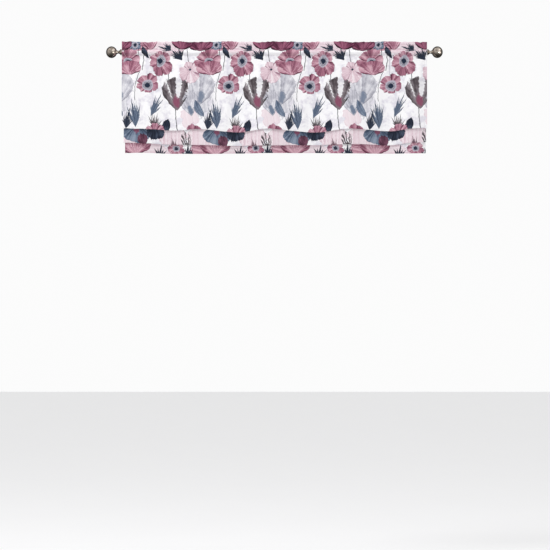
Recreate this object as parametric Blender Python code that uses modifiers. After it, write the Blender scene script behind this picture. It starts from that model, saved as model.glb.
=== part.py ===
# Window valance hung on a round curtain rod with two ball finials.
# One length of cloth goes over the rod: a short standing header above, the rod pocket under it, and a
# flat panel below. Two deep horizontal tucks lay the cloth over itself, so it shows as three tiers.
# Metres, +Z up, +X along the rod to the right, +Y towards the wall.
# The origin is on the rod's axis, midway between the finials.

import math

import bmesh
import bpy

# Cloth, driving sizes
CLOTH_WIDTH = 1.244
CLOTH_THICKNESS = 0.0012
HEADER_TOP = 0.044            # top of the header above the rod's axis
MAIN_EDGE = -0.3181           # mean height of the main panel's folded edge
SECOND_EDGE = -0.3784         # mean height of the second tier's folded edge
HEM_EDGE = -0.4131            # mean height of the hem
TUCK_DEPTH = 0.070            # how far each tuck runs up behind the tier above
LAYER_PITCH = 0.0035          # from one layer of a tuck to the next
PANEL_LEAN = 0.006            # how far the main panel's edge hangs in front of the pocket seam

# Rod pocket and header
SEAM_HEIGHT = 0.0113          # both pocket seams, above and below the rod's axis
SEAM_GAP = 0.0010             # from the middle plane to each layer at a seam
HEADER_GAP = 0.0016           # the same in the header, and the radius of its top fold
BACK_HEM = -0.020             # lower end of the cloth behind the rod
POCKET_RADIUS = 0.0091        # cloth's middle line around the rod

# Rod and finials
ROD_RADIUS = 0.00795
ROD_SIDES = 32
FINIAL_CLEARANCE = 0.002      # from the cloth's side to a finial's collar
TOUCH_GAP = 0.0003
FINIAL_STEPS = 32
BALL_CENTRE = 0.0405          # from the finial's seat
BALL_HALF_LENGTH = 0.0222
BALL_RADIUS = 0.0238
BALL_START = -0.65            # where the neck meets the ball, as a share of its half length
BALL_POINTS = 14

# How finely the cloth is divided
STATIONS = 35                 # columns along the rod
FOLD_STEPS = 4                # steps round each fold
POCKET_STEPS = 6              # steps round the rod, on each side
PANEL_STEP = 0.040            # length of a step down a flat run

# Soft ripples along the rod: place across, swell towards the room at the hem
RIPPLES = (
    (-0.622, 0.011),
    (-0.597, 0.016),
    (-0.426, -0.012),
    (-0.316, 0.013),
    (-0.148, -0.016),
    (-0.026, 0.014),
    (0.166, -0.017),
    (0.317, 0.016),
    (0.467, -0.010),
    (0.573, 0.015),
    (0.622, 0.009),
)

# Uneven edges: place across, then the lift of the main edge, the second edge and the hem
EDGE_LIFTS = (
    (-0.622, 0.0070, 0.0086, 0.0010),
    (-0.544, 0.0037, 0.0065, 0.0030),
    (-0.397, -0.0025, 0.0005, -0.0004),
    (-0.316, 0.0035, -0.0012, -0.0020),
    (-0.148, -0.0095, -0.0033, 0.0008),
    (-0.026, 0.0040, -0.0033, 0.0016),
    (0.166, -0.0095, 0.0000, 0.0030),
    (0.317, 0.0045, 0.0020, 0.0000),
    (0.467, -0.0049, -0.0012, 0.0000),
    (0.573, 0.0057, 0.0090, 0.0004),
    (0.622, 0.0070, 0.0110, 0.0010),
)

# How far each tier's sides stand in from the main panel's: left, right
TIER_INSETS = ((0.0, 0.0), (0.0080, 0.0040), (0.0135, 0.0053))

# Finial's shank: distance from its seat, radius
FINIAL_SHANK = (
    (0.0000, 0.0118),
    (0.0008, 0.0127),
    (0.0026, 0.0127),
    (0.0042, 0.0112),
    (0.0070, 0.0082),
    (0.0100, 0.0060),
    (0.0128, 0.0050),
    (0.0156, 0.0057),
    (0.0186, 0.0086),
    (0.0220, 0.0129),
)

HALF_WIDTH = CLOTH_WIDTH / 2
HALF_THICKNESS = CLOTH_THICKNESS / 2
FOLD_RADIUS = LAYER_PITCH / 2
RIPPLE_REACH = -SEAM_HEIGHT - HEM_EDGE
HEADER_WAVE_SHARE = 0.12      # the header's ripple as a share of the hem's
FINIAL_SEAT = HALF_WIDTH + FINIAL_CLEARANCE


def clear_scene():
    for item in list(bpy.data.objects):
        bpy.data.objects.remove(item, do_unlink=True)


def make_collection(name):
    collection = bpy.data.collections.new(name)
    bpy.context.scene.collection.children.link(collection)
    return collection


def make_material(name, colour, roughness, metallic):
    material = bpy.data.materials.new(name)
    material.use_nodes = True
    shader = material.node_tree.nodes["Principled BSDF"]
    shader.inputs["Base Color"].default_value = (*colour, 1.0)
    shader.inputs["Roughness"].default_value = roughness
    shader.inputs["Metallic"].default_value = metallic
    return material


def make_object(name, mesh, collection, material):
    item = bpy.data.objects.new(name, mesh)
    collection.objects.link(item)
    mesh.materials.append(material)
    return item


def read_table(table, place, column):
    # Smooth steps from row to row, level at each row
    if place <= table[0][0]:
        return table[0][column]
    for low, high in zip(table, table[1:]):
        if place <= high[0]:
            share = (place - low[0]) / (high[0] - low[0])
            ease = share * share * (3 - 2 * share)
            return low[column] + (high[column] - low[column]) * ease
    return table[-1][column]


def arc(centre, radius, start, end, steps):
    # Points round a fold, angles in degrees from +Y towards +Z
    angles = [math.radians(start + (end - start) * step / steps) for step in range(steps + 1)]
    return [(centre[0] + radius * math.cos(a), centre[1] + radius * math.sin(a)) for a in angles]


def run(start, end, skip_ends=True):
    # Points along a flat stretch, without the ends that its neighbours already have
    steps = max(1, round(math.dist(start, end) / PANEL_STEP))
    first, last = (1, steps) if skip_ends else (0, steps + 1)
    shares = [step / steps for step in range(first, last)]
    return [(start[0] + (end[0] - start[0]) * s, start[1] + (end[1] - start[1]) * s) for s in shares]


def pocket_side(side):
    # The cloth round one side of the rod, from the lower seam to the upper one; side is +1 behind
    reach = math.hypot(SEAM_GAP, SEAM_HEIGHT)
    seam_angle = math.degrees(math.atan2(SEAM_HEIGHT, SEAM_GAP))
    touch_angle = seam_angle - math.degrees(math.acos(POCKET_RADIUS / reach))
    round_rod = arc((0.0, 0.0), POCKET_RADIUS, -touch_angle, touch_angle, POCKET_STEPS)
    points = [(SEAM_GAP, -SEAM_HEIGHT)] + round_rod + [(SEAM_GAP, SEAM_HEIGHT)]
    return [(side * y, z) for y, z in points]


def cloth_section():
    # The cloth's middle line seen from its side, from the hem behind the rod to the hem below.
    # Each point has a depth y, a height z and a tier from 0 to 2, in part where it passes behind.
    header_centre = HEADER_TOP - HALF_THICKNESS - HEADER_GAP
    upper = [(SEAM_GAP, BACK_HEM)]
    upper += pocket_side(+1)
    upper += [(HEADER_GAP, SEAM_HEIGHT + 0.008)]
    upper += arc((0.0, header_centre), HEADER_GAP, 0, 180, FOLD_STEPS)
    upper += [(-HEADER_GAP, SEAM_HEIGHT + 0.008)]
    upper += list(reversed(pocket_side(-1)))
    section = [(y, z, 0.0) for y, z in upper]

    edges = (MAIN_EDGE, SECOND_EDGE)
    depth = -SEAM_GAP - PANEL_LEAN
    last = upper[-1]
    for tier, edge in enumerate(edges):
        low = edge + HALF_THICKNESS + FOLD_RADIUS
        high = edge + TUCK_DEPTH - HALF_THICKNESS - FOLD_RADIUS
        down = run(last, (depth, low))
        section += [(y, z, tier) for y, z in down]
        section += [(y, z, tier) for y, z in arc((depth + FOLD_RADIUS, low), FOLD_RADIUS, 180, 360, FOLD_STEPS)]
        rise = run((depth + LAYER_PITCH, low), (depth + LAYER_PITCH, high))
        section += [(y, z, tier + 0.5) for y, z in rise]
        top = arc((depth + 1.5 * LAYER_PITCH, high), FOLD_RADIUS, 180, 0, FOLD_STEPS)
        section += [(y, z, tier + 1.0) for y, z in top]
        depth += 2 * LAYER_PITCH
        last = (depth, high)
    section += [(y, z, 2.0) for y, z in run(last, (depth, HEM_EDGE))]
    section += [(depth, HEM_EDGE, 2.0)]
    return section


def cloth_point(section_point, share):
    depth, height, tier = section_point
    below = min(int(tier), 1)
    mix = tier - below
    left = TIER_INSETS[below][0] * (1 - mix) + TIER_INSETS[below + 1][0] * mix
    right = TIER_INSETS[below][1] * (1 - mix) + TIER_INSETS[below + 1][1] * mix
    across = -HALF_WIDTH + left + (CLOTH_WIDTH - left - right) * share

    lift_here = read_table(EDGE_LIFTS, across, below + 1)
    lift_next = read_table(EDGE_LIFTS, across, below + 2)
    fade = min(1.0, max(0.0, (-SEAM_HEIGHT - height) / (-SEAM_HEIGHT - MAIN_EDGE)))
    lift = (lift_here * (1 - mix) + lift_next * mix) * fade

    hang = (-SEAM_HEIGHT - height) / RIPPLE_REACH
    grow = hang if hang > 0 else HEADER_WAVE_SHARE * max(0.0, height - SEAM_HEIGHT) / HEADER_TOP
    swell = read_table(RIPPLES, across, 1) * grow
    return across, depth - swell, height + lift


def build_cloth(collection, material):
    section = cloth_section()
    mesh = bpy.data.meshes.new("valance_cloth")
    grid = bmesh.new()
    bmesh.ops.create_grid(grid, x_segments=STATIONS - 1, y_segments=len(section) - 1, size=0.5)
    for vertex in grid.verts:
        row = round((vertex.co.y + 0.5) * (len(section) - 1))
        vertex.co = cloth_point(section[row], vertex.co.x + 0.5)
    grid.to_mesh(mesh)
    grid.free()
    mesh.shade_smooth()
    cloth = make_object("valance_cloth", mesh, collection, material)
    thick = cloth.modifiers.new("thickness", "SOLIDIFY")
    thick.thickness = CLOTH_THICKNESS
    thick.offset = 0.0
    thick.use_even_offset = True
    thick.use_quality_normals = True
    return cloth


def build_rod(collection, material):
    length = 2 * (FINIAL_SEAT - TOUCH_GAP)
    mesh = bpy.data.meshes.new("rod")
    tube = bmesh.new()
    bmesh.ops.create_cone(
        tube, cap_ends=True, segments=ROD_SIDES, radius1=ROD_RADIUS, radius2=ROD_RADIUS, depth=length
    )
    tube.to_mesh(mesh)
    tube.free()
    mesh.shade_smooth()
    mesh.set_sharp_from_angle(angle=math.radians(40))
    rod = make_object("rod", mesh, collection, material)
    rod.rotation_euler = (0.0, math.radians(90), 0.0)
    return rod


def finial_profile():
    # Half outline from the ball's end to the seat, as distance from the seat and radius
    start = math.acos(BALL_START)
    angles = [start * step / BALL_POINTS for step in range(BALL_POINTS + 1)]
    ball = [(BALL_CENTRE + BALL_HALF_LENGTH * math.cos(a), BALL_RADIUS * math.sin(a)) for a in angles]
    return ball + list(reversed(FINIAL_SHANK)) + [(FINIAL_SHANK[0][0], 0.0)]


def build_finial(name, side, collection, material):
    profile = finial_profile()
    mesh = bpy.data.meshes.new(name)
    mesh.from_pydata(
        [(radius, 0.0, distance) for distance, radius in profile],
        [(index, index + 1) for index in range(len(profile) - 1)],
        [],
    )
    finial = make_object(name, mesh, collection, material)
    turn = finial.modifiers.new("turning", "SCREW")
    turn.steps = FINIAL_STEPS
    turn.render_steps = FINIAL_STEPS
    turn.use_merge_vertices = True
    turn.merge_threshold = 0.00001
    turn.use_smooth_shade = True
    finial.location = (side * FINIAL_SEAT, 0.0, 0.0)
    finial.rotation_euler = (0.0, side * math.radians(90), 0.0)
    return finial


def main():
    clear_scene()
    collection = make_collection("window_valance")
    cloth_material = make_material("printed_cloth", (0.86, 0.80, 0.83), 0.85, 0.0)
    metal_material = make_material("brushed_metal", (0.60, 0.53, 0.44), 0.30, 1.0)
    build_cloth(collection, cloth_material)
    build_rod(collection, metal_material)
    build_finial("finial_left", -1, collection, metal_material)
    build_finial("finial_right", +1, collection, metal_material)


main()
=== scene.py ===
import math

import bpy
import numpy as np
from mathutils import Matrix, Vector


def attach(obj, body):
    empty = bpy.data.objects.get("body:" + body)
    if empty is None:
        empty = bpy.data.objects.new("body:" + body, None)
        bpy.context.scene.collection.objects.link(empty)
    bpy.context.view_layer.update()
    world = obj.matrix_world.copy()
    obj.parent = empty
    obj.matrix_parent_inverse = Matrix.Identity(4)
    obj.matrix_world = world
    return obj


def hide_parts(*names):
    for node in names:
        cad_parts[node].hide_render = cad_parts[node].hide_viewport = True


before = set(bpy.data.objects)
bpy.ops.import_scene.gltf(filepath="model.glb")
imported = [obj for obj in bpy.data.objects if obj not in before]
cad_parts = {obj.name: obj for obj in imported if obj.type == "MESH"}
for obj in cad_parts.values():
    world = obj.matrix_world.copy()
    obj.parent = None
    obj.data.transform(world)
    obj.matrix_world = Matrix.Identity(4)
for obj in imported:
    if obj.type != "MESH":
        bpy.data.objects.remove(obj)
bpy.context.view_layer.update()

# Window valance: one printed cloth on a rod, with two deep tucks near its hem, and two ball finials.
# Metres, +X along the rod, +Y towards the wall, +Z up, origin on the rod's axis.

# Cloth

valance = {
    "width": 1.244,            # hung width, side to side
    "headerTop": 0.044,
    "mainEdge": -0.3181,       # mean heights of the three lower edges
    "secondEdge": -0.3784,
    "hemEdge": -0.4131,
    "tuckDepth": 0.070,
    "layerPitch": 0.0035,
    "panelLean": 0.006,
    "seamHeight": 0.0113,      # pocket seams above and below the rod's axis
    "seamGap": 0.0010,
    "headerGap": 0.0016,
    "backHem": -0.020,
    "pocketRadius": 0.0091,
    "halfThickness": 0.0006,   # of the solid that the sheet stands for
    "headerWave": 0.12,
    "sideHem": 0.012,          # turned to the back along each side
    "lowerHem": 0.024,         # turned to the back along the bottom
    "upperHem": 0.006,         # turned under behind the rod
    "hemRadius": 0.00035,
    "columns": 398,
    "foldSteps": 6,
    "pocketSteps": 12,
    "panelRows": 62,
    "panelRowGrowth": 1.35,    # rows lie closer under the seam
    "tierStep": 0.0062,
}

# Place across, swell towards the room at the hem
ripples = (
    (-0.622, 0.011),
    (-0.597, 0.016),
    (-0.426, -0.012),
    (-0.316, 0.013),
    (-0.148, -0.016),
    (-0.026, 0.014),
    (0.166, -0.017),
    (0.317, 0.016),
    (0.467, -0.010),
    (0.573, 0.015),
    (0.622, 0.009),
)

# Place across, then the lift of the main edge, the second edge and the hem
edgeLifts = (
    (-0.622, 0.0070, 0.0086, 0.0010),
    (-0.544, 0.0037, 0.0065, 0.0030),
    (-0.397, -0.0025, 0.0005, -0.0004),
    (-0.316, 0.0035, -0.0012, -0.0020),
    (-0.148, -0.0095, -0.0033, 0.0008),
    (-0.026, 0.0040, -0.0033, 0.0016),
    (0.166, -0.0095, 0.0000, 0.0030),
    (0.317, 0.0045, 0.0020, 0.0000),
    (0.467, -0.0049, -0.0012, 0.0000),
    (0.573, 0.0057, 0.0090, 0.0004),
    (0.622, 0.0070, 0.0110, 0.0010),
)

# How far each tier's left and right sides stand in
tierInsets = ((0.0, 0.0), (0.0080, 0.0040), (0.0135, 0.0053))


def smoothStep(values):
    share = np.clip(values, 0.0, 1.0)
    return share * share * (3 - 2 * share)


def easedColumn(table, places, column):
    # Smooth steps from row to row of a table, level at each row
    rows = np.array(table)
    low = np.clip(np.searchsorted(rows[:, 0], places, side="right") - 1, 0, len(rows) - 2)
    start, end = rows[low, 0], rows[low + 1, 0]
    ease = smoothStep((places - start) / (end - start))
    return rows[low, column] + (rows[low + 1, column] - rows[low, column]) * ease


def arcPoints(centre, radius, start, end, steps):
    turns = [math.radians(start + (end - start) * step / steps) for step in range(steps + 1)]
    return [(centre[0] + radius * math.cos(a), centre[1] + radius * math.sin(a)) for a in turns]


def flatRun(start, end, step):
    steps = max(1, round(math.dist(start, end) / step))
    shares = [index / steps for index in range(1, steps)]
    return [(start[0] + (end[0] - start[0]) * s, start[1] + (end[1] - start[1]) * s) for s in shares]


def pocketSide(side):
    # Round one side of the rod, from the lower seam to the upper one
    gap, height, radius = valance["seamGap"], valance["seamHeight"], valance["pocketRadius"]
    seamTurn = math.degrees(math.atan2(height, gap))
    touch = seamTurn - math.degrees(math.acos(radius / math.hypot(gap, height)))
    roundRod = arcPoints((0.0, 0.0), radius, -touch, touch, valance["pocketSteps"])
    lower, upper = (gap, -height), (gap, height)
    points = [lower] + flatRun(lower, roundRod[0], 0.002) + roundRod
    points += flatRun(roundRod[-1], upper, 0.002) + [upper]
    return [(side * y, z) for y, z in points]


def clothSection():
    # The sheet seen from its side, from the hem behind the rod to the lowest hem: depth, height, tier
    v = valance
    step, folds, radius = v["tierStep"], v["foldSteps"], v["layerPitch"] / 2
    centre = v["headerTop"] - v["halfThickness"] - v["headerGap"]
    backEnd, seamBack = (v["seamGap"], v["backHem"]), (v["seamGap"], -v["seamHeight"])
    upper = [backEnd] + flatRun(backEnd, seamBack, 0.003) + pocketSide(+1)
    upper += flatRun(upper[-1], (v["headerGap"], centre), 0.003)
    upper += arcPoints((0.0, centre), v["headerGap"], 0, 180, folds)
    upper += flatRun(upper[-1], (-v["seamGap"], v["seamHeight"]), 0.003)
    upper += list(reversed(pocketSide(-1)))
    points = [(y, z, 0.0) for y, z in upper]

    depth, last = -v["seamGap"] - v["panelLean"], upper[-1]
    for tier, edge in enumerate((v["mainEdge"], v["secondEdge"])):
        low = edge + v["halfThickness"] + radius
        high = edge + v["tuckDepth"] - v["halfThickness"] - radius
        if tier == 0:
            shares = [(k / v["panelRows"]) ** v["panelRowGrowth"] for k in range(1, v["panelRows"])]
            lean, drop = depth - last[0], low - last[1]
            points += [(last[0] + lean * s, last[1] + drop * s, 0.0) for s in shares]
        else:
            points += [(y, z, tier) for y, z in flatRun(last, (depth, low), step)]
        turn = arcPoints((depth + radius, low), radius, 180, 360, folds)
        points += [(y, z, tier) for y, z in turn]
        rise = flatRun((depth + 2 * radius, low), (depth + 2 * radius, high), step)
        points += [(y, z, tier + 0.5) for y, z in rise]
        top = arcPoints((depth + 3 * radius, high), radius, 180, 0, folds)
        points += [(y, z, tier + 1.0) for y, z in top]
        depth += 4 * radius
        last = (depth, high)
    hem = (depth, v["hemEdge"])
    points += [(y, z, 2.0) for y, z in flatRun(last, hem, step)]
    return np.array(points + [(*hem, 2.0)])


section = clothSection()
sectionRun = np.concatenate([[0.0], np.cumsum(np.hypot(*np.diff(section[:, :2], axis=0).T))])
clothLength = sectionRun[-1]
topFoldRun = sectionRun[np.argmax(section[:, 1])]      # where the sheet turns over the top


def seamRun(side, level):
    # The sheet's run at a pocket seam: side 1 behind the rod, -1 in front; level 1 above it, -1 below
    height = level * valance["seamHeight"]
    return sectionRun[np.nonzero((section[:, 0] * side > 0) & (np.abs(section[:, 1] - height) < 1e-6))[0][0]]


lowerSeamRun, upperSeamRun = seamRun(-1, -1), seamRun(-1, 1)
mainFoldRun = lowerSeamRun - valance["seamHeight"] - valance["mainEdge"]


def plainPlace(runs, shares):
    # Points of the smooth sheet, before creases; runs go down the sheet, shares from 0 to 1 across it
    v = valance
    depth, height, tier = (np.interp(runs, sectionRun, section[:, k]) for k in range(3))
    below = np.minimum(tier.astype(int), 1)
    mix = tier - below
    insets = np.array(tierInsets)
    left, right = (insets[below, k] * (1 - mix) + insets[below + 1, k] * mix for k in (0, 1))
    across = -v["width"] / 2 + left + (v["width"] - left - right) * shares
    lifts = [easedColumn(edgeLifts, across, k) for k in (1, 2, 3)]
    lift = np.choose(below, lifts[:2]) * (1 - mix) + np.choose(below, lifts[1:]) * mix
    hang = -v["seamHeight"] - height
    lift = lift * np.clip(hang / (-v["seamHeight"] - v["mainEdge"]), 0, 1)
    grow = np.where(
        hang > 0,
        hang / (-v["seamHeight"] - v["hemEdge"]),
        v["headerWave"] * np.maximum(0, height - v["seamHeight"]) / v["headerTop"],
    )
    swell = easedColumn(ripples, across, 1) * grow
    return np.stack([across, depth - swell, height + lift], axis=-1)


print("section:", len(section), "points,", round(clothLength, 4), "m from hem to hem")


# Cloth sheet

# Two short hidden tucks beside the seam: place across, how much cloth each takes up
tucks = ((-0.480, 0.010), (0.469, 0.009))
tuckShape = {
    "top": -0.019,             # heights at which a tuck opens, is full, closes again and ends
    "full": -0.034,
    "fading": -0.070,
    "end": -0.106,
    "lips": 0.0011,            # half width of its fold
    "spread": 0.070,           # how far beside it the cloth is drawn in
    "fall": 1.6,
}

# Soft creases down the main panel: place across at the top and at the bottom, from and to a height,
# half width, swell
creases = (
    (-0.566, -0.572, -0.020, -0.210, 0.010, 0.0016),
    (-0.520, -0.548, -0.060, -0.330, 0.016, -0.0013),
    (-0.402, -0.376, -0.016, -0.150, 0.012, 0.0014),
    (-0.348, -0.352, -0.110, -0.325, 0.013, 0.0012),
    (-0.262, -0.236, -0.018, -0.240, 0.014, -0.0013),
    (-0.188, -0.200, -0.150, -0.325, 0.011, 0.0011),
    (-0.104, -0.088, -0.016, -0.170, 0.010, 0.0016),
    (-0.006, -0.018, -0.060, -0.330, 0.015, -0.0012),
    (0.066, 0.082, -0.018, -0.200, 0.012, 0.0014),
    (0.128, 0.118, -0.140, -0.325, 0.010, 0.0010),
    (0.214, 0.232, -0.016, -0.130, 0.012, 0.0015),
    (0.276, 0.262, -0.090, -0.330, 0.016, -0.0012),
    (0.352, 0.372, -0.020, -0.220, 0.011, 0.0014),
    (0.430, 0.424, -0.120, -0.325, 0.012, 0.0011),
    (0.526, 0.546, -0.018, -0.260, 0.014, -0.0013),
    (0.594, 0.588, -0.030, -0.180, 0.010, 0.0013),
)

relief = {
    "panelPucker": 0.0017,     # height of the puckers under the lower seam
    "pocketPucker": 0.0008,
    "headerPucker": 0.0020,
    "lowerSeed": 0.7,          # of the uneven waves along each seam and the hem
    "upperSeed": 3.9,
    "hemSeed": 5.1,
    "groove": 0.0012,          # how deep and how wide the stitching draws the cloth in
    "grooveWidth": 0.0016,
    "headerEdge": 0.0023,      # rise and fall of the header's top edge
    "panelRise": 0.004,        # runs in which puckers start and die away
    "panelFade": 0.024,
    "pocketRise": 0.002,
    "pocketFade": 0.007,
    "creaseHeight": 1.50,      # share of the table's swell
    "creaseEnd": 0.030,        # run in which a crease starts and ends
    "sway": 0.0005,            # slow unevenness
    "tierSway": 0.00035,
    "hemPucker": 0.00022,
}


def tuckDepth(height):
    # 1 where a tuck is full, 0 above and below it
    rise = smoothStep((tuckShape["top"] - height) / (tuckShape["top"] - tuckShape["full"]))
    fall = smoothStep((height - tuckShape["end"]) / (tuckShape["fading"] - tuckShape["end"]))
    return rise * fall


def waver(across, seed):
    # Uneven waves of 9 to 16 mm along a seam, from -1 to 1
    bend = 0.9 * np.sin(across * 31.0 + seed) + 0.7 * np.sin(across * 74.0 + 2.1 * seed)
    wave = np.sin(across * 455.0 + 2.4 * bend + seed) + 0.6 * np.sin(across * 690.0 - 1.7 * bend + 3 * seed)
    return wave * (0.62 + 0.38 * np.sin(across * 23.0 + 1.3 * seed)) / 1.6


def headerWaver(across):
    slow = np.sin(across * 29.0 + 0.8) + 0.6 * np.sin(across * 67.0 + 2.2)
    return 0.6 * slow + 0.4 * np.sin(across * 181.0 + 2.0 * slow)


def onFront(runs, tier):
    # The header, the pocket's front and the main panel
    return (runs > topFoldRun) & (tier < 0.25)


def reliefOf(runs, across, height, tier):
    # How far the cloth stands out of the smooth sheet, on its printed side
    r = relief
    below, above = runs - lowerSeamRun, upperSeamRun - runs
    front = onFront(runs, tier)
    fading = np.exp(-np.maximum(below, 0) / r["panelFade"])
    panel = np.where(below > 0, fading, 0.0) * np.minimum(1, below / r["panelRise"])
    out = r["panelPucker"] * waver(across + 0.10 * np.maximum(below, 0), r["lowerSeed"]) * panel
    nearest = np.minimum(np.abs(below), np.abs(above))
    inPocket = (runs > upperSeamRun) & (runs < lowerSeamRun)
    pocket = np.exp(-nearest / r["pocketFade"]) * np.minimum(1, nearest / r["pocketRise"])
    lowerWave, upperWave = waver(across, r["lowerSeed"]), waver(across, r["upperSeed"])
    swell = 0.5 + 0.5 * np.where(np.abs(below) < np.abs(above), lowerWave, upperWave)
    out += np.where(inPocket, r["pocketPucker"] * swell * pocket, 0.0)
    header = np.clip(above / (upperSeamRun - topFoldRun), 0, 1)
    shape = np.minimum(1, header / 0.2) * (1 - 0.4 * header)
    ruffle = r["headerPucker"] * (0.6 + waver(across + 0.02 * header, r["upperSeed"])) * shape
    out += np.where((above > 0) & front, ruffle, 0.0)
    out -= np.where(front, r["groove"] * np.exp(-(nearest / r["grooveWidth"]) ** 2), 0.0)
    for topX, lowX, start, end, half, swell in creases:
        share = np.clip((start - height) / (start - end), 0, 1)
        centre = topX + (lowX - topX) * share
        length = np.clip(np.minimum(start - height, height - end) / r["creaseEnd"], 0, 1)
        ridge = np.exp(-((across - centre) / half) ** 2)
        out += np.where(front, r["creaseHeight"] * swell * ridge * smoothStep(length), 0.0)
    sway = np.sin(across * 17.3 + height * 21.0 + 0.4) + 0.7 * np.sin(across * 41.0 - height * 33.0 + 1.9)
    sway += 0.5 * np.sin(across * 88.0 + height * 47.0 + 4.2)
    free = np.clip(np.minimum(below, clothLength - runs) / 0.03, 0, 1)
    out += np.where(tier < 0.25, r["sway"], r["tierSway"]) * sway * free
    end = clothLength - valance["lowerHem"]
    out += r["hemPucker"] * waver(across, r["hemSeed"]) * np.exp(-np.abs(runs - end) / 0.008)
    return out


def hemTurn(beyond):
    # Past an edge the cloth turns to the back: how far out, how far behind, and how far back inwards
    radius = valance["hemRadius"]
    turn = np.clip(beyond / radius, 0, math.pi)
    inwards = np.maximum(0, beyond - math.pi * radius)
    return radius * np.sin(turn), radius * (1 - np.cos(turn)), inwards


def unit(vectors):
    return vectors / np.linalg.norm(vectors, axis=-1, keepdims=True)


def sheetPlace(downs, asides):
    # Points of the real sheet; downs go down it from -upperHem, asides across it in metres from its middle
    half = valance["width"] / 2
    past = np.stack([-downs, downs - clothLength])
    over = np.maximum(past, 0)
    outDown, backDown, inDown = hemTurn(over)
    runs = np.clip(downs, 0, clothLength) + inDown[0] - inDown[1]
    aside = np.maximum(np.stack([-asides - half, asides - half]), 0)
    outSide, backSide, inSide = hemTurn(aside)
    across = np.clip(asides, -half, half) + inSide[0] - inSide[1]
    shares = across / (2 * half) + 0.5
    points = plainPlace(runs, shares)
    seam = valance["seamHeight"]
    header = np.clip((points[..., 2] - seam) / (valance["headerTop"] - seam), 0, 1)
    points[..., 2] += relief["headerEdge"] * header * (headerWaver(across) - 0.6)
    # Directions down and across the sheet, from points close by
    near = 0.0004
    lower, upper = np.minimum(runs + near, clothLength), np.maximum(runs - near, 0)
    down = unit(plainPlace(lower, shares) - plainPlace(upper, shares))
    side = unit(plainPlace(runs, shares + near) - plainPlace(runs, shares - near))
    normal = unit(np.cross(down, side))
    tier = np.interp(runs, sectionRun, section[:, 2])
    height = points[..., 2]
    out = reliefOf(runs, across, height, tier)
    front = onFront(runs, tier)
    for place, taken in tucks:
        lips = np.clip(1 - np.abs(across - place) / tuckShape["lips"], 0, 1)
        out -= np.where(front, taken / 2 * tuckDepth(height) * np.minimum(1, lips / 0.55), 0.0)
    out = out - backDown.sum(0) - backSide.sum(0)
    ahead = (outDown[1] - outDown[0])[..., None] * down + (outSide[1] - outSide[0])[..., None] * side
    return points + ahead + out[..., None] * normal, normal


def clothPlaceOf(downs, asides):
    # Where a point lies on the flat cloth: across from its middle, and down from the top fold, negative
    half, rippleShare = valance["width"] / 2, 0.75
    fine = np.linspace(-half, half, 1245)
    lean = np.gradient(easedColumn(ripples, fine, 1) * rippleShare, fine)
    flat = np.concatenate([[0.0], np.cumsum(np.hypot(1.0, (lean[1:] + lean[:-1]) / 2) * np.diff(fine))])
    flat -= flat[len(flat) // 2]
    place = np.interp(asides, fine, flat)
    place += np.maximum(asides - fine[-1], 0) - np.maximum(fine[0] - asides, 0)
    heights = np.interp(np.clip(downs, 0, clothLength), sectionRun, section[:, 1])
    front = (downs > topFoldRun) & (downs < mainFoldRun)
    for centre, taken in tucks:
        away = asides - centre
        step = np.clip(away / tuckShape["lips"], -1, 1)
        beside = np.maximum(0, np.abs(away) - tuckShape["lips"])
        fall = np.exp(-beside / tuckShape["spread"] * tuckShape["fall"])
        place += np.where(front, tuckDepth(heights), 0.0) * step * fall * taken / 2
    return place, topFoldRun - downs


def sheetAcross():
    # Columns: even over the width, closer at the tucks and round the side hems
    half, radius, hem = valance["width"] / 2, valance["hemRadius"], valance["sideHem"]
    places = list(np.linspace(-half, half, valance["columns"] + 1))
    for place, _ in tucks:
        lips = tuckShape["lips"]
        places = [x for x in places if abs(x - place) > 1.4 * lips]
        places += [place + lips * k for k in (-1.25, -1.0, -0.45, 0.0, 0.45, 1.0, 1.25)]
    turn = [half + math.pi * radius * k / 4 for k in range(1, 5)]
    back = [turn[-1] + hem * k / 4 for k in range(1, 5)]
    return np.array(sorted(places + turn + back + [-x for x in turn + back]))


def sheetDown():
    radius = valance["hemRadius"]
    turn = [math.pi * radius * k / 4 for k in range(1, 5)]
    lower = [turn[-1] + valance["lowerHem"] * k / 5 for k in range(1, 6)]
    upper = [turn[-1] + valance["upperHem"] * k / 2 for k in range(1, 3)]
    above, below = [-x for x in reversed(turn + upper)], [clothLength + x for x in turn + lower]
    return np.array(above + list(sectionRun) + below)


def addPiece(name, points, faces, smooth=True):
    mesh = bpy.data.meshes.new(name)
    mesh.from_pydata([tuple(point) for point in points], [], faces)
    mesh.polygons.foreach_set("use_smooth", [smooth] * len(mesh.polygons))
    mesh.update()
    item = bpy.data.objects.new(name, mesh)
    bpy.context.scene.collection.objects.link(item)
    return item


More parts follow.
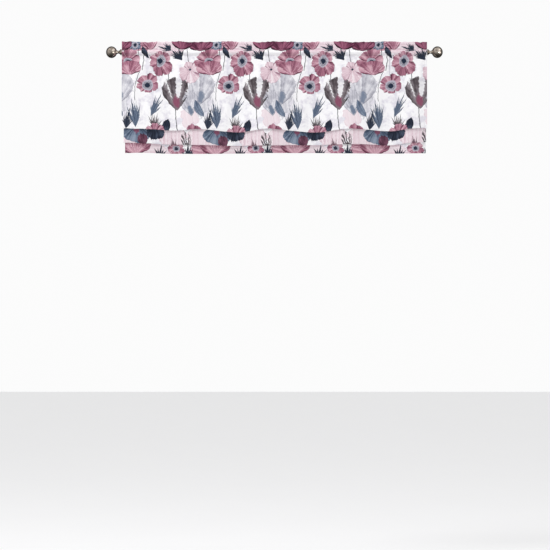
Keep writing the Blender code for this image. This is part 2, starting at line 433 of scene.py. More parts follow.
def buildCloth():
    asides, downs = sheetAcross(), sheetDown()
    wide, tall = len(asides), len(downs)
    gridDown, gridAside = np.meshgrid(downs, asides, indexing="ij")
    points, _ = sheetPlace(gridDown, gridAside)
    index = np.arange(wide * tall).reshape(tall, wide)
    corners = (index[:-1, :-1], index[1:, :-1], index[1:, 1:], index[:-1, 1:])
    faces = np.stack(corners, axis=-1).reshape(-1, 4)
    item = addPiece("valance_sheet", points.reshape(-1, 3), faces.tolist())
    flatAcross, flatDown = clothPlaceOf(gridDown, gridAside)
    layers = {
        "clothPlace": np.stack([flatAcross, flatDown], axis=-1).reshape(-1, 2),
        "OFBake": np.stack([
            0.01 + 0.98 * (gridAside - asides[0]) / (asides[-1] - asides[0]),
            0.99 - 0.98 * (gridDown - downs[0]) / (downs[-1] - downs[0]),
        ], axis=-1).reshape(-1, 2),
    }
    for name, values in layers.items():
        layer = item.data.uv_layers.new(name=name)
        layer.data.foreach_set("uv", values[faces.ravel()].ravel())
    size = (flatAcross.max() - flatAcross.min(), downs[-1] - downs[0])
    print("cloth:", wide, "by", tall, "points, cut to", [round(float(x), 4) for x in size])
    return item, size


clothSheet, clothCut = buildCloth()


# Stitches

stitching = {
    "pitch": 0.0030,           # from one stitch to the next
    "length": 0.0022,
    "radius": 0.00022,
    "sides": 5,
    "lift": 0.00008,           # of a thread's middle above the cloth
    "sideInset": 0.010,        # rows from the cloth's sides and from its lower edge
    "lowerHem": 0.021,
    "endGap": 0.002,           # from a row's ends to the cloth's edge
    "acrossPoints": 900,       # along a row's path
    "downPoints": 1600,
}

# A stitch dives into the cloth at both ends: share along it, rise in radii, thickness
stitchShape = ((0.0, -0.9, 0.55), (0.14, 0.25, 0.9), (0.5, 0.6, 1.0), (0.86, 0.25, 0.9), (1.0, -0.9, 0.55))


def stitchTube(start, end, normal):
    s = stitching
    along = end - start
    side = np.cross(along, normal)
    side /= np.linalg.norm(side)
    points = []
    for share, rise, thin in stitchShape:
        centre = start + along * share + normal * (s["lift"] + rise * s["radius"])
        for k in range(s["sides"]):
            turn = math.tau * k / s["sides"]
            points.append(centre + (side * math.cos(turn) + normal * math.sin(turn)) * s["radius"] * thin)
    return points


def stitchRow(downs, asides):
    # Stitches along a path on the sheet's printed side
    s = stitching
    paths, normals = sheetPlace(downs, asides)
    far = np.concatenate([[0.0], np.cumsum(np.linalg.norm(np.diff(paths, axis=0), axis=-1))])
    count = int(far[-1] / s["pitch"])
    points, faces = [], []
    for k in range(count):
        ends = (k + 0.5) * s["pitch"] + np.array([-0.5, 0.5]) * s["length"]
        start, end = (np.array([np.interp(x, far, paths[:, axis]) for axis in range(3)]) for x in ends)
        normal = np.array([np.interp(ends.mean(), far, normals[:, axis]) for axis in range(3)])
        base = len(points)
        points += stitchTube(start, end, normal / np.linalg.norm(normal))
        for ring in range(len(stitchShape) - 1):
            for side in range(s["sides"]):
                a = base + ring * s["sides"] + side
                b = base + ring * s["sides"] + (side + 1) % s["sides"]
                faces.append((a, b, b + s["sides"], a + s["sides"]))
    return points, faces


def buildStitches():
    s = stitching
    half, gap = valance["width"] / 2, s["endGap"]
    across = np.linspace(gap - half, half - gap, s["acrossPoints"])
    seams = (lowerSeamRun, upperSeamRun, seamRun(1, -1), seamRun(1, 1), clothLength - s["lowerHem"])
    rows = [(np.full(len(across), run), across) for run in seams]
    downs = np.linspace(gap, clothLength - gap, s["downPoints"])
    rows += [(downs, np.full(len(downs), side * (half - s["sideInset"]))) for side in (-1, 1)]
    pieces = []
    for name, chosen in (("seam_stitches", rows[:4]), ("hem_stitches", rows[4:])):
        points, faces = [], []
        for row in chosen:
            more, links = stitchRow(*row)
            faces += [tuple(k + len(points) for k in link) for link in links]
            points += more
        pieces.append(addPiece(name, points, faces))
        print(name + ":", len(faces), "faces")
    return pieces


seamStitches, hemStitches = buildStitches()


# Finials

# Outline from the rod's end outwards: distance, radius; flange, neck, bead and the start of the ball
finialOutline = (
    (0.0000, 0.0095), (0.0000, 0.0116), (0.0003, 0.0123), (0.0009, 0.0127), (0.0024, 0.0127),
    (0.0030, 0.0124), (0.0034, 0.0117), (0.0042, 0.0108), (0.0054, 0.0095), (0.0070, 0.0080),
    (0.0086, 0.0067), (0.0100, 0.0062), (0.0114, 0.0058), (0.0128, 0.0056), (0.0142, 0.0057),
    (0.0150, 0.0060), (0.0156, 0.0066), (0.0162, 0.0070), (0.0170, 0.0072), (0.0178, 0.0071),
    (0.0183, 0.0068), (0.0186, 0.0070), (0.0192, 0.0084), (0.0198, 0.0101),
)
finialSettings = {
    "steps": 96,
    "seat": 0.624,             # from the rod's middle
    "ballStart": 0.0203,       # from the seat
    "ballCentre": 0.0405,
    "ballHalf": 0.0222,        # half its length
    "ballRadius": 0.0238,
    "ballSteps": 34,
}


def buildFinial(name, side):
    f = finialSettings
    steps, middle, half = f["steps"], f["ballCentre"], f["ballHalf"]
    start = math.asin((f["ballStart"] - middle) / half)
    turns = [start + (math.pi / 2 - start) * k / f["ballSteps"] for k in range(f["ballSteps"])]
    outline = list(finialOutline)
    outline += [(middle + half * math.sin(a), f["ballRadius"] * math.cos(a)) for a in turns]
    points, faces = [], []
    for away, radius in outline:
        for k in range(steps):
            turn = math.tau * k / steps
            points.append((side * (f["seat"] + away), radius * math.cos(turn), radius * math.sin(turn)))
    last, tip, seat = len(points) - steps, len(points), len(points) + 1
    points += [(side * (f["seat"] + middle + half), 0.0, 0.0), (side * f["seat"], 0.0, 0.0)]
    for ring in range(0, last, steps):
        for k in range(steps):
            a, b = ring + k, ring + (k + 1) % steps
            faces.append((a, a + steps, b + steps, b) if side > 0 else (a, b, b + steps, a + steps))
    for k in range(steps):
        a, b = k, (k + 1) % steps
        caps = [(last + a, tip, last + b), (b, seat, a)]
        faces += caps if side > 0 else [cap[::-1] for cap in caps]
    return addPiece(name, points, faces)


finials = [buildFinial("finial_" + name + "_turned", side) for name, side in (("left", -1), ("right", 1))]
print("finials:", [len(item.data.polygons) for item in finials], "faces")


# Shader wiring

class Wiring:
    # Adds nodes to one tree; an input takes a socket or a plain value
    def __init__(self, tree, gives=None):
        self.tree, self.gives = tree, gives

    def feed(self, socket, value):
        if isinstance(value, bpy.types.NodeSocket):
            self.tree.links.new(value, socket)
        else:
            socket.default_value = value

    def give(self, **values):
        for name, value in values.items():
            self.feed(self.gives[name], value)

    def node(self, kind, values=None, **settings):
        made = self.tree.nodes.new(kind)
        for name, value in settings.items():
            setattr(made, name, value)
        for name, value in (values or {}).items():
            if value is not None:
                self.feed(made.inputs[name], value)
        return made

    def use(self, group, **values):
        return self.node("ShaderNodeGroup", values, node_tree=group).outputs

    def calc(self, operation, first, second=None, third=None):
        return self.node("ShaderNodeMath", {0: first, 1: second, 2: third}, operation=operation).outputs[0]

    def product(self, first, second):
        return self.calc("MULTIPLY", first, second)

    def times(self, first, second, added=0.0):
        return self.calc("MULTIPLY_ADD", first, second, added)

    def vector(self, operation, first, second=None, third=None):
        made = self.node("ShaderNodeVectorMath", {0: first, 1: second, 2: third}, operation=operation)
        return made.outputs["Value" if operation in ("LENGTH", "DOT_PRODUCT") else "Vector"]

    def join(self, x=0.0, y=0.0, z=0.0):
        return self.node("ShaderNodeCombineXYZ", {0: x, 1: y, 2: z}).outputs[0]

    def noise(self, place, scale, detail=3.0, rough=0.5, output=0):
        values = {"Vector": place, "Scale": scale, "Detail": detail, "Roughness": rough}
        return self.node("ShaderNodeTexNoise", values).outputs[output]

    def streaks(self, along, detail=3.0, rough=0.6):
        # Uneven bands along one value
        values = {"W": along, "Scale": 1.0, "Detail": detail, "Roughness": rough}
        return self.node("ShaderNodeTexNoise", values, noise_dimensions="1D").outputs[0]

    def chance(self, value):
        # A random number for each whole value
        return self.node("ShaderNodeTexWhiteNoise", {"W": value}, noise_dimensions="1D").outputs[0]

    def fade(self, value, low, high, atLow=0.0, atHigh=1.0):
        # A smooth step, level outside its limits
        values = {0: value, 1: low, 2: high, 3: atLow, 4: atHigh}
        made = self.node("ShaderNodeMapRange", values, interpolation_type="SMOOTHSTEP", clamp=False)
        return made.outputs[0]

    def blend(self, share, under, over):
        return self.node("ShaderNodeMix", {0: share, 6: under, 7: over}, data_type="RGBA").outputs[2]

    def paintTone(self, tone, takes):
        # Thin paint is light, pooled paint deep
        lower = self.blend(self.times(tone, 2.0), takes["Light"], takes["Mid"])
        return self.blend(self.times(tone, 2.0, -1.0), lower, takes["Deep"])

    def surface(self, values):
        shader = self.node("ShaderNodeBsdfPrincipled", values)
        self.node("ShaderNodeOutputMaterial", {"Surface": shader.outputs[0]})


def newGroup(name, takes, gives):
    # Sockets are listed as Name:F for a number, V for a vector, C for a colour
    kinds = {"F": "NodeSocketFloat", "V": "NodeSocketVector", "C": "NodeSocketColor"}
    group = bpy.data.node_groups.new(name, "ShaderNodeTree")
    for side, listed in (("INPUT", takes), ("OUTPUT", gives)):
        for entry in listed.split():
            label, kind = entry.split(":")
            group.interface.new_socket(label, in_out=side, socket_type=kinds[kind])
    inputs, outputs = group.nodes.new("NodeGroupInput"), group.nodes.new("NodeGroupOutput")
    return group, inputs.outputs, Wiring(group, outputs.inputs)


def paint(code):
    # A colour from its six-digit code, as light values
    parts = [int(code[k:k + 2], 16) / 255 for k in (0, 2, 4)]
    return (*[c / 12.92 if c <= 0.04045 else ((c + 0.055) / 1.055) ** 2.4 for c in parts], 1.0)


# Print
# A motif's own place is 1 from its centre at its rim; Soft and Rough are the paint's unevenness there

printRepeat = {"across": 0.335, "down": 0.800, "wander": 0.004}      # outlines wander this far
motifSockets, motifGives = "X:F Y:F Soft:F Rough:F Seed:F Light:C Mid:C Deep:C ", "Colour:C Cover:F"


def buildSpot():
    # Where a point of the cloth lies in a motif of the repeat; Right and Up turn and size it
    group, takes, w = newGroup("print motif place", "Cloth:V Centre:V Right:V Up:V", "X:F Y:F")
    half = (printRepeat["across"] / 2, printRepeat["down"] / 2, 1.0)
    away = w.vector("SUBTRACT", takes["Cloth"], takes["Centre"])
    away = w.vector("WRAP", away, half, [-side for side in half])
    w.give(X=w.vector("DOT_PRODUCT", away, takes["Right"]), Y=w.vector("DOT_PRODUCT", away, takes["Up"]))
    return group


def buildBloom():
    # An open flower from the front: overlapping ruffled petals round a pale eye with dark stamens
    group, takes, w = newGroup(
        "print bloom", motifSockets + "Petals:F Eye:F Under:F Lean:F Pale:C Dark:C", motifGives)
    x, y, soft, rough, seed = (takes[name] for name in ("X", "Y", "Soft", "Rough", "Seed"))
    radius = w.vector("LENGTH", w.join(x, y))
    turn = w.times(w.calc("ARCTAN2", y, x), 0.5 / math.pi, 0.5)
    petal = w.times(turn, takes["Petals"], seed)
    luck = w.chance(w.times(seed, 7.3, w.calc("FLOORED_MODULO", w.calc("FLOOR", petal), takes["Petals"])))
    across = w.calc("FRACT", petal)
    side = w.calc("ABSOLUTE", w.times(across, 2.0, -1.0))
    rim = w.times(w.calc("POWER", side, 4.0), -0.16, w.times(luck, 0.20, 0.62))
    rim = w.times(soft, 0.40, w.times(rough, 0.30, w.calc("SUBTRACT", rim, 0.14)))
    rim = w.times(w.calc("DIVIDE", y, w.calc("MAXIMUM", radius, 0.01)), takes["Lean"], rim)
    gap = w.calc("SUBTRACT", rim, radius)
    own = w.times(luck, 37.0, w.product(rough, 0.7))
    bands = w.streaks(w.times(across, 2.6, own), 3.0)
    veins = w.streaks(w.times(across, 13.0, own), 2.0)
    tone = w.times(w.fade(bands, 0.34, 0.66), 0.46, w.times(w.fade(veins, 0.35, 0.65), 0.20, -0.12))
    tone = w.times(w.fade(soft, 0.36, 0.64), 0.32, tone)
    border = w.fade(gap, 0.0, 0.05, 1.0, 0.0)
    tone = w.times(border, w.times(takes["Under"], w.fade(y, 0.1, -0.5), 0.16), tone)
    fold = w.product(w.fade(across, 0.72, 1.0), w.fade(radius, 0.15, 0.5))
    tone = w.times(w.calc("POWER", fold, 1.6), 0.62, tone)
    tone = w.times(w.product(w.fade(across, 0.10, 0.0), w.fade(radius, 0.2, 0.5)), -0.30, tone)
    tone = w.times(w.fade(radius, 0.50, 0.15), 0.22, tone)
    colour = w.paintTone(tone, takes)
    reach = w.times(rough, -0.16, radius)
    reach = w.calc("DIVIDE", reach, w.product(takes["Eye"], w.times(soft, 0.8, 0.5)))
    colour = w.blend(w.fade(reach, 1.0, 0.84), colour, takes["Pale"])
    flecks = w.product(w.fade(reach, 0.86, 0.55), w.fade(veins, 0.50, 0.56))
    colour = w.blend(w.calc("MAXIMUM", flecks, w.fade(reach, 0.42, 0.28)), colour, takes["Dark"])
    w.give(Colour=colour, Cover=w.fade(gap, 0.0, 0.03))
    return group


def buildCup():
    # A flower from the side: petals rise from its foot to a torn rim, slit here and there
    group, takes, w = newGroup(
        "print cup", motifSockets + "Spread:F Ruffle:F Slits:F Rim:F Glow:F Under:F Heart:C", motifGives)
    x, soft, rough, seed = (takes[name] for name in ("X", "Soft", "Rough", "Seed"))
    up = w.calc("ADD", takes["Y"], 0.95)
    radius = w.vector("LENGTH", w.join(x, up))
    fan = w.calc("DIVIDE", w.calc("ARCTAN2", x, up), takes["Spread"])
    side = w.calc("ABSOLUTE", fan)
    own = w.times(rough, 0.8, seed)
    torn = w.streaks(w.times(fan, 3.2, own), 3.0, 0.7)
    top = w.times(w.calc("SUBTRACT", torn, 0.5), takes["Ruffle"], w.times(soft, 0.3, 1.56))
    shoulder = w.calc("SQRT", w.calc("SUBTRACT", 1.0, w.calc("POWER", side, 3.2)))
    gap = w.times(top, shoulder, w.product(radius, -1.0))
    bands = w.streaks(w.times(fan, 6.5, own), 3.0, 0.7)
    tone = w.times(w.fade(bands, 0.36, 0.64), 0.50, w.times(w.fade(soft, 0.36, 0.64), 0.42, -0.10))
    tone = w.times(w.fade(gap, 0.0, 0.08, 1.0, 0.0), takes["Rim"], tone)
    tone = w.times(w.product(w.fade(side, 0.70, 1.0), w.fade(radius, 1.5, 0.8)), takes["Under"], tone)
    colour = w.paintTone(tone, takes)
    near = w.vector("LENGTH", w.join(w.times(x, 1.5), w.calc("SUBTRACT", up, 0.45)))
    near = w.times(rough, 0.5, w.calc("SUBTRACT", near, 0.25))
    colour = w.blend(w.product(w.fade(near, 0.42, 0.22), takes["Glow"]), colour, takes["Heart"])
    slit = w.fade(w.streaks(w.times(fan, 2.9, w.calc("ADD", own, 31.0)), 2.0), 0.54, 0.58)
    slit = w.product(slit, w.product(w.fade(w.times(rough, 0.5, radius), 0.85, 1.0), takes["Slits"]))
    w.give(Colour=colour, Cover=w.product(w.fade(gap, 0.0, 0.03), w.calc("SUBTRACT", 1.0, slit)))
    return group


def buildSpray():
    # A tuft of brush strokes that fan up from one foot
    group, takes, w = newGroup("print spray", motifSockets + "Spread:F Strokes:F Weight:F", motifGives)
    x, rough, seed = (takes[name] for name in ("X", "Rough", "Seed"))
    strokes, spread = takes["Strokes"], takes["Spread"]
    up = w.calc("ADD", takes["Y"], 1.0)
    radius = w.vector("LENGTH", w.join(x, up))
    fan = w.calc("DIVIDE", w.calc("ARCTAN2", x, up), spread)
    cell = w.product(w.times(fan, 0.5, 0.5), strokes)
    luck = w.chance(w.calc("ADD", w.calc("FLOOR", cell), seed))
    reach = w.product(w.times(luck, 0.95, 1.05), w.times(w.product(fan, fan), -0.45, 1.0))
    along = w.times(w.calc("DIVIDE", radius, reach), 2.0, -1.0)
    bulge = w.calc("SQRT", w.calc("SUBTRACT", 1.0, w.product(along, along)))
    half = w.product(bulge, w.product(w.times(along, -0.5, 0.75), takes["Weight"]))
    apart = w.calc("ABSOLUTE", w.calc("SUBTRACT", w.calc("FRACT", cell), w.times(luck, 0.24, 0.38)))
    apart = w.product(apart, w.product(w.calc("DIVIDE", w.times(spread, 2.0), strokes), radius))
    gap = w.times(half, w.times(rough, -1.3, 1.65), w.product(apart, -1.0))
    bands = w.streaks(w.times(fan, 9.0, w.calc("ADD", rough, seed)), 3.0, 0.7)
    tone = w.times(w.fade(bands, 0.3, 0.7), 0.75, w.times(luck, 0.35, -0.05))
    colour = w.paintTone(tone, takes)
    w.give(Colour=colour, Cover=w.product(w.fade(gap, 0.0, 0.03), w.fade(w.calc("ABSOLUTE", fan), 1.0, 0.96)))
    return group


def buildBlade():
    # One leaf or stem: Taper 1 gives a leaf's outline, a high one an even line
    group, takes, w = newGroup("print blade", motifSockets + "Width:F Bend:F Taper:F Edge:F", motifGives)
    y, soft, rough, seed = (takes[name] for name in ("Y", "Soft", "Rough", "Seed"))
    rest = w.calc("SUBTRACT", 1.0, w.product(y, y))
    shape = w.calc("MINIMUM", w.product(rest, takes["Taper"]), 1.0)
    bent = w.times(rest, takes["Bend"], takes["X"])
    half = w.times(w.calc("SUBTRACT", rough, 0.5), takes["Edge"], 1.0)
    half = w.product(half, w.product(shape, takes["Width"]))
    gap = w.calc("SUBTRACT", half, w.calc("ABSOLUTE", bent))
    bands = w.streaks(w.times(bent, 9.0, w.calc("ADD", rough, seed)), 3.0, 0.7)
    tone = w.times(w.fade(bands, 0.3, 0.7), 0.6, w.times(w.fade(soft, 0.36, 0.64), 0.4, -0.05))
    tone = w.times(w.fade(gap, 0.0, 0.05, 1.0, 0.0), 0.3, tone)
    colour = w.paintTone(tone, takes)
    w.give(Colour=colour, Cover=w.product(w.fade(gap, 0.0, 0.02), w.fade(w.calc("ABSOLUTE", y), 1.0, 0.97)))
    return group


def buildWash():
    # A loose pool of thin paint, streaked along its own length
    group, takes, w = newGroup("print wash", motifSockets + "Streaks:F", motifGives)
    x, y, soft, rough, seed = (takes[name] for name in ("X", "Y", "Soft", "Rough", "Seed"))
    radius = w.vector("LENGTH", w.join(x, y))
    edge = w.times(soft, 1.4, w.times(rough, 0.5, w.calc("SUBTRACT", radius, 0.95)))
    bands = w.streaks(w.times(x, 4.0, w.calc("ADD", rough, seed)), 3.0, 0.7)
    tone = w.product(w.fade(bands, 0.35, 0.7), takes["Streaks"])
    tone = w.times(w.fade(edge, 0.84, 0.98), 0.4, tone)
    w.give(Colour=w.paintTone(tone, takes), Cover=w.fade(edge, 1.0, 0.9))
    return group


# Light, mid and deep paint of each flower and leaf
paints = {
    "rose": (paint("dcb5c1"), paint("a2697e"), paint("57243a")),
    "crimson": (paint("a0617a"), paint("642d47"), paint("2a0d1c")),
    "blush": (paint("efe3e8"), paint("dcc2cc"), paint("9c7486")),
    "grey": (paint("e6e5ea"), paint("bdbcc6"), paint("7f7f8d")),
    "charcoal": (paint("8f868c"), paint("4f464b"), paint("241f22")),
    "slate": (paint("8e9aad"), paint("56657c"), paint("283245")),
    "navy": (paint("465063"), paint("222a3c"), paint("0f1420")),
    "plum": (paint("7f5266"), paint("4f2b3e"), paint("26101e")),
    "stem": (paint("5f626b"), paint("34363f"), paint("1c1e26")),
}
eyePale, eyeDark, plumHeart, slateHeart = paint("b9b6c3"), paint("202a3e"), paint("8a4a63"), paint("62728a")
# The ground's white and its lavender-grey, which is partly the print's own tint and partly painted shade of
# soft folds
groundWhite, groundTintAndPaintedShade = paint("f9f8fa"), paint("e0dde6")

# What each kind of motif has besides its paint
motifDefaults = {
    "bloom": {"Petals": 5.0, "Eye": 0.30, "Under": 0.9, "Lean": 0.0, "Pale": eyePale, "Dark": eyeDark},
    "cup": {
        "Spread": 1.1, "Ruffle": 0.6, "Slits": 0.0, "Rim": 0.3, "Glow": 0.0, "Under": 0.5,
        "Heart": plumHeart},
    "spray": {"Spread": 0.75, "Strokes": 7.0, "Weight": 0.16},
    "blade": {"Width": 0.036, "Bend": 0.1, "Taper": 9.0, "Edge": 0.6},
    "leaf": {"Width": 0.44, "Bend": 0.2, "Taper": 1.0, "Edge": 0.6},
    "wash": {"Streaks": 0.5},
}

# Motifs in the order they are painted: kind, paint, place across and down in mm, turn in degrees, width and
# height in mm, seed, and what differs from the kind
motifs = (
    ("wash", "grey", 28, -232, 8, 50, 85, 3.1),
    ("wash", "blush", 206, -22, 86, 44, 96, 8.2, {"Streaks": 0.6}),
    ("wash", "rose", 112, -16, 88, 26, 46, 6.1, {"Streaks": 0.9}),
    ("wash", "blush", 318, -322, 10, 36, 44, 5.7, {"Streaks": 0.2}),
    ("blade", "stem", 112, -68, 3, 46, 46, 1.0),
    ("blade", "stem", 124, -76, -4, 50, 50, 9.0, {"Bend": -0.1}),
    ("blade", "stem", 226, -150, -6, 52, 52, 2.0, {"Bend": -0.12}),
    ("blade", "stem", 268, -322, 5, 60, 60, 4.0),
    ("blade", "stem", 104, -190, -9, 64, 64, 5.0, {"Width": 0.028, "Bend": 0.14}),
    ("blade", "stem", 316, -60, 6, 52, 52, 7.0, {"Width": 0.032}),
    ("cup", "grey", 38, -196, -10, 62, 80, 1.3, {"Spread": 0.84, "Glow": 0.8, "Heart": slateHeart}),
    ("cup", "grey", 316, -256, 14, 50, 64, 7.7, {"Spread": 0.80, "Glow": 0.9, "Heart": slateHeart}),
    ("cup", "charcoal", 262, -212, 4, 64, 80, 2.6,
        {"Spread": 0.92, "Slits": 0.85, "Rim": 0.7, "Glow": 0.9, "Ruffle": 0.9}),
    ("spray", "slate", 92, -292, 4, 54, 70, 2.0, {"Spread": 0.60, "Strokes": 11, "Weight": 0.13}),
    ("spray", "slate", 182, -262, -24, 42, 58, 11.0, {"Spread": 0.58, "Strokes": 9, "Weight": 0.13}),
    ("spray", "navy", 66, -316, -10, 42, 54, 21.0, {"Spread": 0.72, "Strokes": 9, "Weight": 0.12}),
    ("leaf", "slate", 26, -282, 30, 36, 40, 6.0),
    ("bloom", "rose", 146, -186, 14, 46, 42, 1.37, {"Eye": 0.52, "Lean": 0.12}),
    ("bloom", "blush", 322, -122, -10, 44, 48, 5.12, {"Petals": 4, "Eye": 0.02, "Lean": -0.2}),
    ("bloom", "rose", 64, -92, 0, 60, 56, 4.21, {"Petals": 6, "Lean": 0.16}),
    ("cup", "rose", 66, -112, 5, 46, 34, 2.9, {"Spread": 1.42, "Ruffle": 0.35, "Under": 1.3}),
    ("bloom", "rose", 200, -86, 8, 47, 58, 2.64, {"Eye": 0.44, "Lean": -0.14}),
    ("leaf", "navy", 138, -46, 24, 26, 32, 3.0),
    ("spray", "navy", 264, -50, 34, 42, 42, 7.0, {"Strokes": 9, "Weight": 0.15}),
    ("bloom", "slate", 94, -14, 0, 28, 30, 3.33, {"Eye": 0.50}),
    ("cup", "rose", 156, 4, 4, 32, 44, 9.4, {"Spread": 1.1, "Ruffle": 0.4, "Under": 1.0}),
    ("spray", "navy", 216, -20, 52, 34, 36, 17.0, {"Spread": 0.8, "Strokes": 8, "Weight": 0.18}),
    ("cup", "crimson", 30, -8, 3, 45, 38, 3.9, {"Spread": 1.35, "Ruffle": 0.2, "Under": 1.8, "Rim": 0.4}),
    ("cup", "crimson", 288, 0, -6, 38, 36, 6.4,
        {"Spread": 1.35, "Ruffle": 0.2, "Under": 1.8, "Rim": 0.4}),
    ("spray", "charcoal", 176, -322, 0, 46, 40, 5.0, {"Spread": 0.70, "Strokes": 9, "Weight": 0.09}),
    ("leaf", "navy", 224, -352, -14, 28, 32, 2.5, {"Width": 0.62, "Bend": 0.1}),
    ("bloom", "rose", 176, -384, 0, 50, 48, 5.18, {"Petals": 7}),
    ("bloom", "rose", 334, -388, 0, 40, 40, 6.45),
    ("wash", "blush", 30, -545, 0, 58, 60, 2.2, {"Streaks": 0.45}),
    ("wash", "blush", 238, -540, 0, 62, 60, 9.2, {"Streaks": 0.55}),
    ("spray", "plum", 246, -562, 4, 30, 44, 8.0, {"Spread": 0.50, "Strokes": 7, "Weight": 0.13}),
    ("cup", "slate", 92, -536, 176, 52, 44, 4.4, {"Spread": 1.3, "Glow": 0.9, "Ruffle": 0.3}),
    ("cup", "plum", 118, -556, 12, 26, 32, 7.5, {"Spread": 0.9}),
    ("cup", "navy", 172, -522, 186, 36, 40, 5.5, {"Spread": 1.2}),
    ("cup", "charcoal", 300, -552, 8, 30, 46, 6.6, {"Spread": 0.8, "Slits": 1.0}),
    ("wash", "blush", 160, -742, 90, 42, 66, 1.2, {"Streaks": 0.5}),
    ("wash", "rose", 10, -738, 80, 30, 42, 4.2, {"Streaks": 0.6}),
    ("cup", "rose", 82, -708, 0, 56, 48, 8.5, {"Spread": 1.35, "Ruffle": 0.3, "Under": 1.6}),
    ("bloom", "rose", 252, -726, 0, 38, 36, 7.45, {"Eye": 0.40}),
    ("spray", "navy", 302, -734, 5, 34, 32, 3.0, {"Spread": 0.9, "Weight": 0.22}),
    ("spray", "navy", 186, -738, -6, 36, 32, 12.0, {"Spread": 0.9, "Weight": 0.18}),
)


# Unevenness: scale, detail and roughness of what bends outlines, pools the paint and frays its edges
printNoises = ((60.0, 2.0, 0.5), (26.0, 2.0, 0.5), (120.0, 3.0, 0.6))


def buildPrint():
    # The whole printed repeat on a white ground, painted motif by motif
    group, takes, w = newGroup("floral print", "Cloth:V", "Colour:C")
    # The unevenness is read round a tube, so that it repeats with the motifs
    tube = printRepeat["across"] / math.tau
    turn = w.calc("DIVIDE", w.vector("DOT_PRODUCT", takes["Cloth"], (1.0, 0.0, 0.0)), tube)
    down = w.vector("DOT_PRODUCT", takes["Cloth"], (0.0, 1.0, 0.0))
    x, y = w.product(w.calc("COSINE", turn), tube), w.product(w.calc("SINE", turn), tube)
    place = w.join(x, y, down)
    noises = [w.noise(place, *values, output="Color") for values in printNoises]
    soft, rough = (w.vector("DOT_PRODUCT", noise, (1.0, 0.0, 0.0)) for noise in noises[1:])
    far = printRepeat["wander"]
    drift = w.vector("MULTIPLY_ADD", noises[0], (2 * far, 2 * far, 0.0), (-far, -far, 0.0))
    cloth = w.vector("ADD", takes["Cloth"], drift)
    spot, kinds = buildSpot(), {"bloom": buildBloom(), "cup": buildCup(), "spray": buildSpray()}
    kinds["blade"] = kinds["leaf"] = buildBlade()
    kinds["wash"] = buildWash()
    # Lavender-grey clouds on the white ground: partly the print's own tint, partly painted shade that stands
    # in for soft folds in the cloth
    groundTintAndFoldShade = w.fade(w.calc("ADD", w.product(rough, 0.4), soft), 0.64, 0.90)
    colour = w.blend(groundTintAndFoldShade, groundWhite, groundTintAndPaintedShade)
    for kind, shade, across, down, turn, width, height, seed, *own in motifs:
        across, down, width, height = (size / 1000 for size in (across, down, width, height))
        lie, rise = math.cos(math.radians(turn)), math.sin(math.radians(turn))
        right, up = (lie / width, rise / width, 0.0), (-rise / height, lie / height, 0.0)
        place = w.use(spot, Cloth=cloth, Centre=(across, down, 0.0), Right=right, Up=up)
        light, mid, deep = paints[shade]
        values = {"X": place["X"], "Y": place["Y"], "Soft": soft, "Rough": rough, "Seed": seed}
        values.update({"Light": light, "Mid": mid, "Deep": deep}, **motifDefaults[kind])
        values.update(*own)
        motif = w.use(kinds[kind], **values)
        colour = w.blend(motif["Cover"], colour, motif["Colour"])
    w.give(Colour=colour)
    return group


# Materials

def newMaterial(name):
    material = bpy.data.materials.new(name)
    material.use_nodes = True
    material.node_tree.nodes.clear()
    return material, Wiring(material.node_tree)


def buildWeave():
    # Plain weave: height of the threads, for the bump
    group, takes, w = newGroup("plain weave", "Cloth:V Threads:F", "Height:F")
    scaled = w.vector("MULTIPLY", takes["Cloth"], w.join(takes["Threads"], takes["Threads"]))
    across = w.calc("SINE", w.vector("DOT_PRODUCT", scaled, (math.tau, 0.0, 0.0)))
    down = w.calc("SINE", w.vector("DOT_PRODUCT", scaled, (0.0, math.tau, 0.0)))
    slub = w.noise(w.vector("MULTIPLY", scaled, (0.02, 0.35, 0.0)), 5.0, 2.0)
    w.give(Height=w.times(w.product(across, down), 0.5, slub))
    return group


clothLook = {
    "threads": 2400.0,         # of the weave in each metre
    "relief": 0.00012,
    "back": "eeecef",
    "ghost": 0.30,             # share of the print that shows on the back
}


def buildPrintedCloth():
    material, w = newMaterial("printedCloth")
    place = w.node("ShaderNodeUVMap", uv_map="clothPlace").outputs[0]
    printed = w.use(buildPrint(), Cloth=place)
    weave = w.use(buildWeave(), Cloth=place, Threads=clothLook["threads"])["Height"]
    behind = w.node("ShaderNodeNewGeometry").outputs["Backfacing"]
    ghost = w.blend(clothLook["ghost"], paint(clothLook["back"]), printed["Colour"])
    colour = w.blend(behind, printed["Colour"], ghost)
    bump = w.node("ShaderNodeBump", {"Strength": 0.25, "Distance": clothLook["relief"], "Height": weave})
    w.surface({
        "Base Color": colour, "Roughness": 0.82, "Specular IOR Level": 0.25, "Sheen Weight": 0.12,
        "Sheen Roughness": 0.5, "Normal": bump.outputs[0]})
    return material


threadLook = {"dark": "a39aa3", "light": "c9c2c9", "twist": 900.0, "relief": 0.0001}


def buildThread():
    material, w = newMaterial("sewingThread")
    place = w.node("ShaderNodeTexCoord").outputs["Object"]
    twist = w.noise(place, threadLook["twist"], 2.0)
    colour = w.blend(w.fade(twist, 0.3, 0.7), paint(threadLook["dark"]), paint(threadLook["light"]))
    bump = w.node("ShaderNodeBump", {"Strength": 0.4, "Distance": threadLook["relief"], "Height": twist})
    w.surface({
        "Base Color": colour, "Roughness": 0.7, "Specular IOR Level": 0.3, "Normal": bump.outputs[0]})
    return material


metalLook = {
    "bright": "d2c6ba",
    "dull": "968a7f",
    "rings": (2600.0, 60.0, 60.0),      # how fine they are along the rod and round it
    "patches": 70.0,
    "relief": 0.00006,
}


